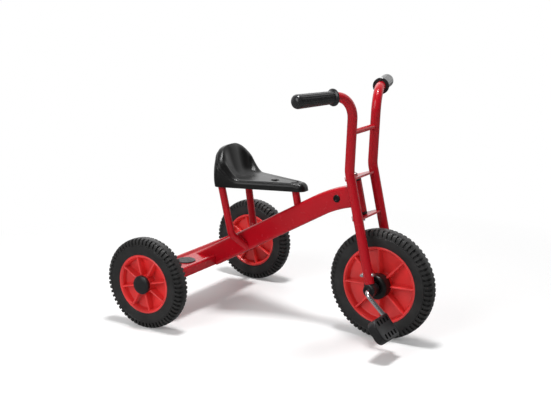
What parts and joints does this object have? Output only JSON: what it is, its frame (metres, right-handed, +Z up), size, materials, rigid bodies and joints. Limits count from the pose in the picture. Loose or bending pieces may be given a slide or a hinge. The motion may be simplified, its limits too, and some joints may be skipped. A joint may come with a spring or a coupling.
{
  "type": "tricycle",
  "caption": "Child's kindergarten tricycle with a sloping beam, moulded seat, rear step platform, fork steering and a crank driven front wheel.",
  "frame": {"origin": "on the ground under the middle of the bounding box, on the symmetry plane", "axes": "+X forward, +Y to the rider's left, +Z up"},
  "size_m": [0.8295, 0.5806, 0.6569],
  "materials": {
    "red_paint": "gloss powder coat",
    "red_plastic": "semi gloss",
    "black_plastic": "satin, fine grain",
    "tyre_rubber": "matte",
    "grip_rubber": "satin",
    "chrome": "polished",
    "zinc_steel": "zinc plated"
  },
  "bodies": {
    "frame": {"main_beam": "red_paint", "head_tube": "red_paint", "rear_platform": "red_paint", "axle_bracket_left": "red_paint", "axle_bracket_right": "red_paint", "rear_axle_tube": "red_paint", "seat_post_front": "red_paint", "seat_support_left": "red_paint", "seat_support_right": "red_paint", "seat": "black_plastic", "head_bush_lower": "black_plastic", "head_bush_upper": "black_plastic", "axle_bush_left": "black_plastic", "axle_bush_right": "black_plastic", "beam_plug_left": "black_plastic", "beam_plug_right": "black_plastic", "step_pad_left": "black_plastic", "step_pad_right": "black_plastic", "seat_bolt_front": "black_plastic", "seat_bolt_middle": "black_plastic", "rear_axle": "zinc_steel", "axle_spacer_left": "zinc_steel", "axle_spacer_right": "zinc_steel", "axle_nut_left": "zinc_steel", "axle_nut_right": "zinc_steel", "seat_carrier": "zinc_steel"},
    "steering": {"fork_tube_left": "red_paint", "fork_tube_right": "red_paint", "cross_tube": "red_paint", "fork_plate_upper": "red_paint", "fork_plate_lower": "red_paint", "kingpin_bolt": "zinc_steel", "kingpin_nut": "zinc_steel", "grip_left": "grip_rubber", "grip_right": "grip_rubber", "wheel_bearing_left": "black_plastic", "wheel_bearing_right": "black_plastic", "leg_bolt_left": "chrome", "leg_bolt_right": "chrome", "leg_nut_left": "chrome", "leg_nut_right": "chrome"},
    "front_wheel": {"front_tyre": "tyre_rubber", "front_disc": "red_plastic", "hub_flange_left": "black_plastic", "hub_flange_right": "black_plastic", "crank_axle": "chrome"},
    "pedal_left": {"pedal_left": "black_plastic"},
    "pedal_right": {"pedal_right": "black_plastic"},
    "rear_wheel_left": {"rear_tyre_left": "tyre_rubber", "rear_disc_left": "red_plastic", "wheel_bush_outer_left": "black_plastic", "wheel_bush_inner_left": "black_plastic", "hub_cap_left": "black_plastic"},
    "rear_wheel_right": {"rear_tyre_right": "tyre_rubber", "rear_disc_right": "red_plastic", "wheel_bush_outer_right": "black_plastic", "wheel_bush_inner_right": "black_plastic", "hub_cap_right": "black_plastic"}
  },
  "joints": [
    {"name": "steering_turn", "type": "hinge", "parent": "frame", "child": "steering", "pos_m": [0.19402, 0, 0.36646], "axis": [-0.2164, 0, 0.9763], "range_deg": [-80, 80]},
    {"name": "front_wheel_spin", "type": "hinge", "parent": "steering", "child": "front_wheel", "pos_m": [0.26975, 0, 0.145], "axis": [0, 1, 0], "continuous": true},
    {"name": "pedal_right_spin", "type": "hinge", "parent": "front_wheel", "child": "pedal_right", "pos_m": [0.34288, -0.139, 0.0768], "axis": [0, 1, 0], "continuous": true},
    {"name": "pedal_left_spin", "type": "hinge", "parent": "front_wheel", "child": "pedal_left", "pos_m": [0.19662, 0.139, 0.2132], "axis": [0, 1, 0], "continuous": true},
    {"name": "rear_wheel_right_spin", "type": "hinge", "parent": "frame", "child": "rear_wheel_right", "pos_m": [-0.29225, -0.258, 0.1225], "axis": [0, 1, 0], "continuous": true},
    {"name": "rear_wheel_left_spin", "type": "hinge", "parent": "frame", "child": "rear_wheel_left", "pos_m": [-0.29225, 0.258, 0.1225], "axis": [0, 1, 0], "continuous": true}
  ]
}
